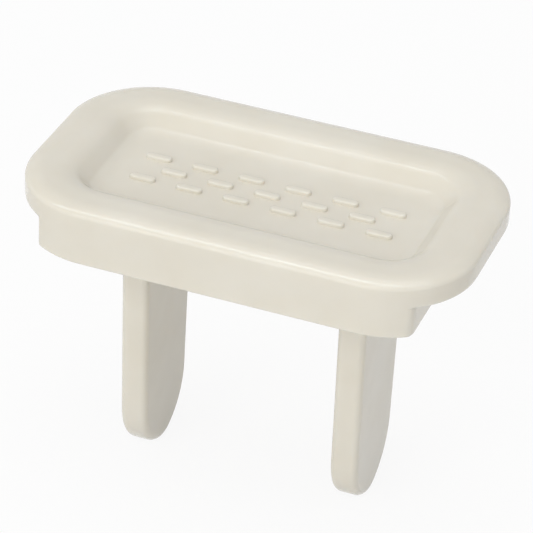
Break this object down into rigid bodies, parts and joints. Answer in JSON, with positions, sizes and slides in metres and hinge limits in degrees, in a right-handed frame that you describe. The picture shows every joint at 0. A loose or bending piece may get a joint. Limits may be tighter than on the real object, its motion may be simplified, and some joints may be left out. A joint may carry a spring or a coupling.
{
  "type": "outlet safety cover",
  "caption": "Moulded outlet safety cover: dished rounded plate on a shallow skirt, with flat blades that push into the slots of a wall outlet and ledges for fingertips at its ends.",
  "frame": {"origin": "midway between the blades, in the plane of the skirt's lower edge, which lies on the wall plate", "axes": "+X along the length of the cover, from one blade to the other; +Y across it, along the blades' width; +Z out of the wall, so the blades point along -Z"},
  "size_m": [0.0256, 0.015, 0.0189],
  "materials": {
    "cover": "smooth moulded plastic, warm ivory, semi-gloss"
  },
  "bodies": {
    "root": {"outlet_cover": "cover"}
  },
  "joints": []
}
